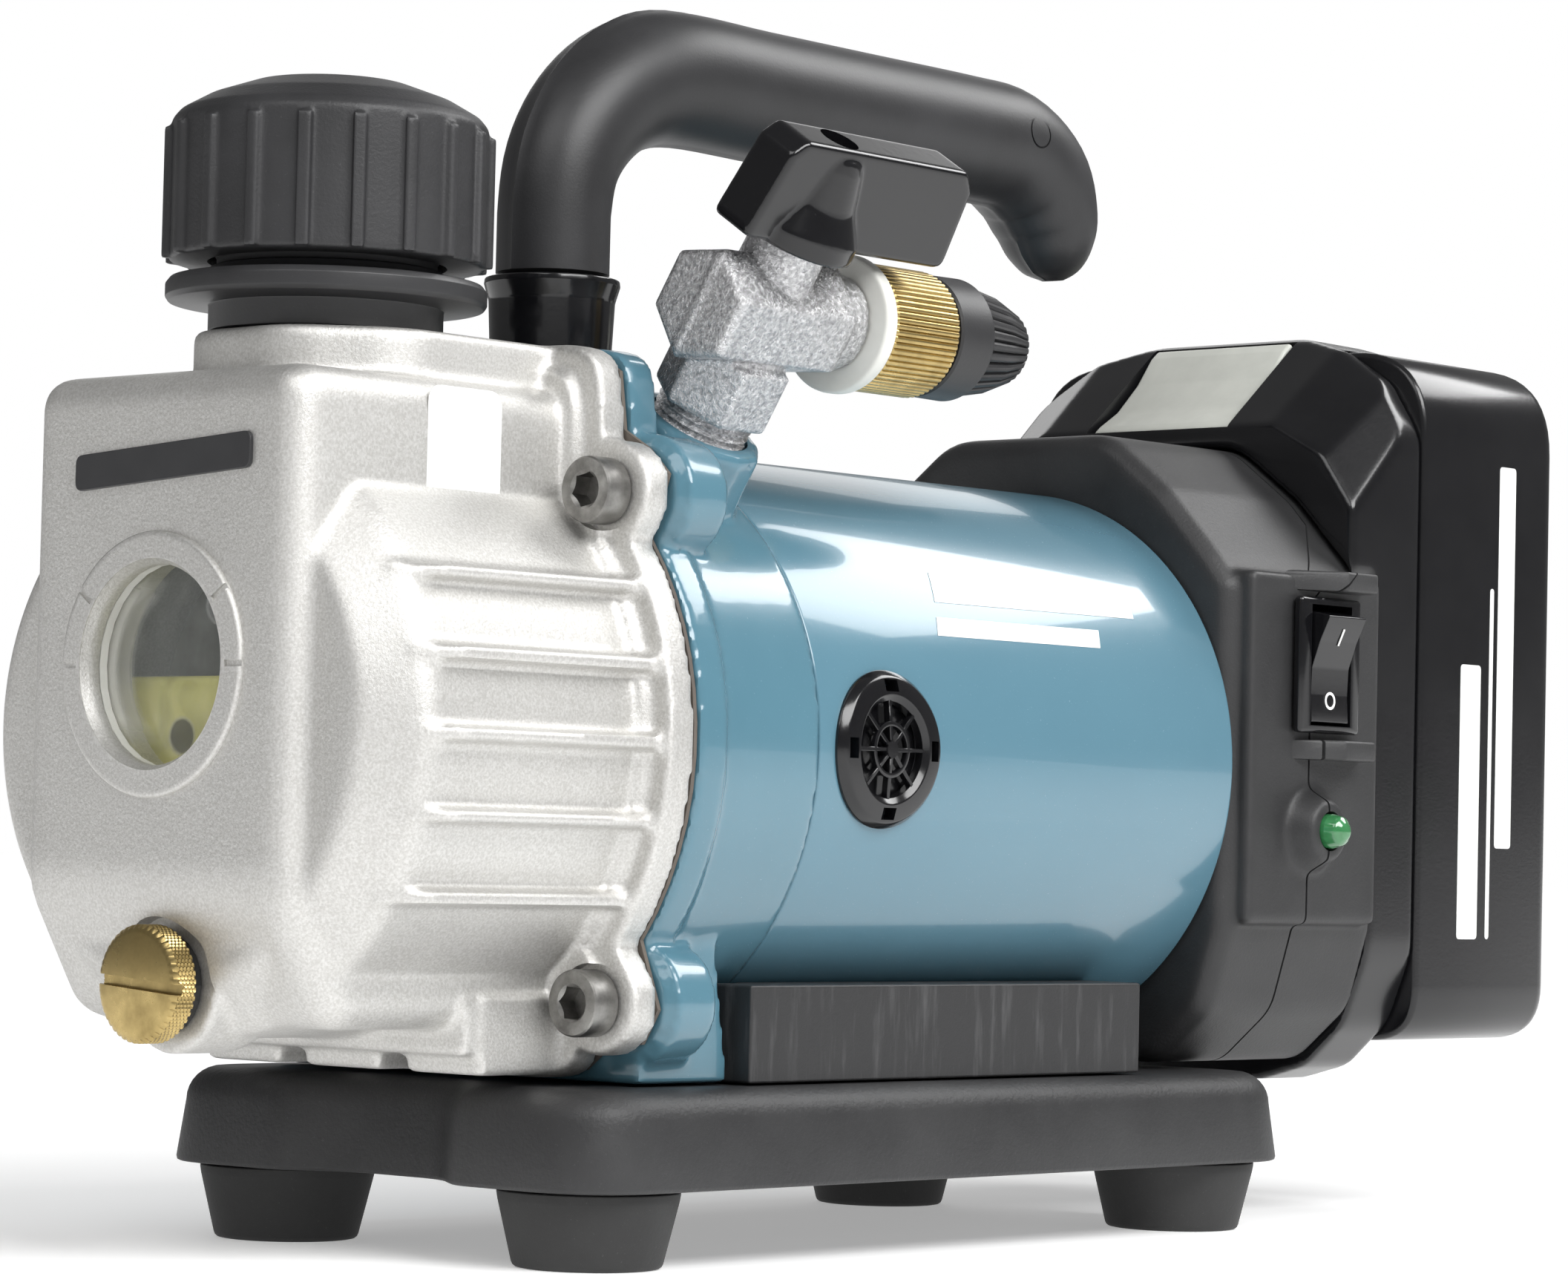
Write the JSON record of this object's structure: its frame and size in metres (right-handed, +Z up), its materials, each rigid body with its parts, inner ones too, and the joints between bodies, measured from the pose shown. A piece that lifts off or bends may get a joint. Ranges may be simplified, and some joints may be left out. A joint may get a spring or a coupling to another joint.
{
  "type": "cordless vacuum pump",
  "caption": "Battery-driven rotary-vane vacuum pump with oil sight glass, filler cap, intake valve, carrying handle and rubber-footed base",
  "frame": {"origin": "centre of the object's box, on the floor under the feet", "axes": "+X from the sight glass to the battery, +Z up, -Y the side with the switch and the intake valve"},
  "size_m": [0.2592, 0.0956, 0.1674],
  "materials": {
    "black_plastic": "fine textured, satin",
    "textured_black": "coarse moulded texture",
    "gloss_black": "glossy",
    "battery_black": "satin gloss",
    "rubber": "matt",
    "cast_aluminium": "bead blasted die casting",
    "teal_paint": "gloss paint",
    "brass": "machined",
    "nickel": "rough nickel plate",
    "steel": "ground",
    "screw_steel": "dark zinc",
    "cast_iron": "machined",
    "copper_winding": "lacquered copper on steel",
    "ferrite": "sintered",
    "cell_wrap": "shrink wrapped cells",
    "sight_glass": "clear",
    "pump_oil": "clear yellow-green liquid",
    "white_ptfe": "translucent white",
    "white_plastic": "satin off-white",
    "green_lens": "clear green dome",
    "gasket_paper": "pressed fibre",
    "filter_felt": "felt",
    "carbon": "sintered carbon"
  },
  "bodies": {
    "pump": {"base_frame": "textured_black", "cover_screw_1": "screw_steel", "cover_screw_2": "screw_steel", "cover_screw_3": "screw_steel", "cover_screw_4": "screw_steel", "exhaust_filter": "filter_felt", "filler_neck": "black_plastic", "foot_front_left": "rubber", "foot_front_right": "rubber", "foot_rear_left": "rubber", "foot_rear_right": "rubber", "front_bearing": "steel", "handle": "black_plastic", "handle_collar": "rubber", "housing_front": "black_plastic", "housing_rear": "black_plastic", "intake_valve_body": "nickel", "knurled_ring": "brass", "magnet_ring": "ferrite", "motor_cradle": "textured_black", "motor_front_plate": "cast_aluminium", "motor_rear_plate": "cast_aluminium", "motor_shell": "teal_paint", "oil_charge": "pump_oil", "oil_reservoir": "cast_aluminium", "port_washer": "white_ptfe", "power_led": "green_lens", "pump_body": "teal_paint", "pump_stator": "cast_iron", "rear_bearing": "steel", "reservoir_gasket": "gasket_paper", "shaft_seal": "rubber", "sight_glass": "sight_glass", "sight_glass_seal": "rubber", "stator_cover": "cast_iron", "switch_bezel": "gloss_black", "terminal_block": "black_plastic", "vent_grille": "black_plastic"},
    "exhaust_cap_seal": {"cap_seal": "rubber"},
    "exhaust_cap": {"exhaust_cap": "textured_black"},
    "drain_seal": {"drain_plug_seal": "rubber"},
    "drain_plug": {"drain_plug": "brass"},
    "port_seal": {"port_cap_seal": "white_ptfe"},
    "port_cap": {"port_cap": "black_plastic"},
    "drive_line": {"pump_rotor": "steel", "vane_1": "carbon", "vane_2": "carbon", "drive_shaft": "steel", "shaft_coupling": "black_plastic", "armature": "copper_winding", "cooling_fan": "black_plastic"},
    "valve_stem": {"valve_ball": "steel", "valve_stem": "steel", "valve_lever": "gloss_black", "lever_screw": "steel"},
    "rocker": {"switch_rocker": "gloss_black"},
    "battery": {"battery_case": "battery_black", "battery_rail_shell": "battery_black", "cell_pack": "cell_wrap"},
    "battery_latch": {"battery_button": "white_plastic"}
  },
  "joints": [
    {"name": "drive_spin", "type": "hinge", "parent": "pump", "child": "drive_line", "pos_m": [0, 0.00501, 0.0665], "axis": [1, 0, 0], "continuous": true},
    {"name": "cap_lift", "type": "slide", "parent": "pump", "child": "exhaust_cap_seal", "axis": [0, 0, 1], "range_m": [0, 0.0121]},
    {"name": "cap_turn", "type": "hinge", "parent": "exhaust_cap_seal", "child": "exhaust_cap", "pos_m": [-0.1009, 0.00501, 0.138], "axis": [0, 0, 1], "range_deg": [0, 1440]},
    {"name": "drain_draw", "type": "slide", "parent": "pump", "child": "drain_seal", "axis": [-1, 0, 0], "range_m": [0, 0.0088]},
    {"name": "drain_turn", "type": "hinge", "parent": "drain_seal", "child": "drain_plug", "pos_m": [-0.1276, 0.00501, 0.0348], "axis": [-1, 0, 0], "range_deg": [0, 2520]},
    {"name": "port_draw", "type": "slide", "parent": "pump", "child": "port_seal", "axis": [1, 0, 0], "range_m": [0, 0.0021]},
    {"name": "port_turn", "type": "hinge", "parent": "port_seal", "child": "port_cap", "pos_m": [-0.0263, -0.0311, 0.1221], "axis": [1, 0, 0], "range_deg": [0, 720]},
    {"name": "valve_turn", "type": "hinge", "parent": "pump", "child": "valve_stem", "pos_m": [-0.0596, -0.0311, 0.1221], "axis": [0, -0.5446, 0.8387], "range_deg": [-90, 0]},
    {"name": "rocker_tilt", "type": "hinge", "parent": "pump", "child": "rocker", "pos_m": [0.0606, -0.03599, 0.0818], "axis": [1, 0, 0], "range_deg": [-22, 0]},
    {"name": "battery_slide", "type": "slide", "parent": "pump", "child": "battery", "axis": [0, 0, 1], "range_m": [0, 0.085]},
    {"name": "latch_press", "type": "slide", "parent": "battery", "child": "battery_latch", "axis": [0.6511, 0, -0.759], "range_m": [0, 0.002], "stiffness_N_per_m": 800}
  ],
  "couplings": [
    {"joint": "cap_lift", "follows": "cap_turn", "m_per_rad": 0.00047746},
    {"joint": "drain_draw", "follows": "drain_turn", "m_per_rad": 0.00019894},
    {"joint": "port_draw", "follows": "port_turn", "m_per_rad": 0.00015915}
  ]
}
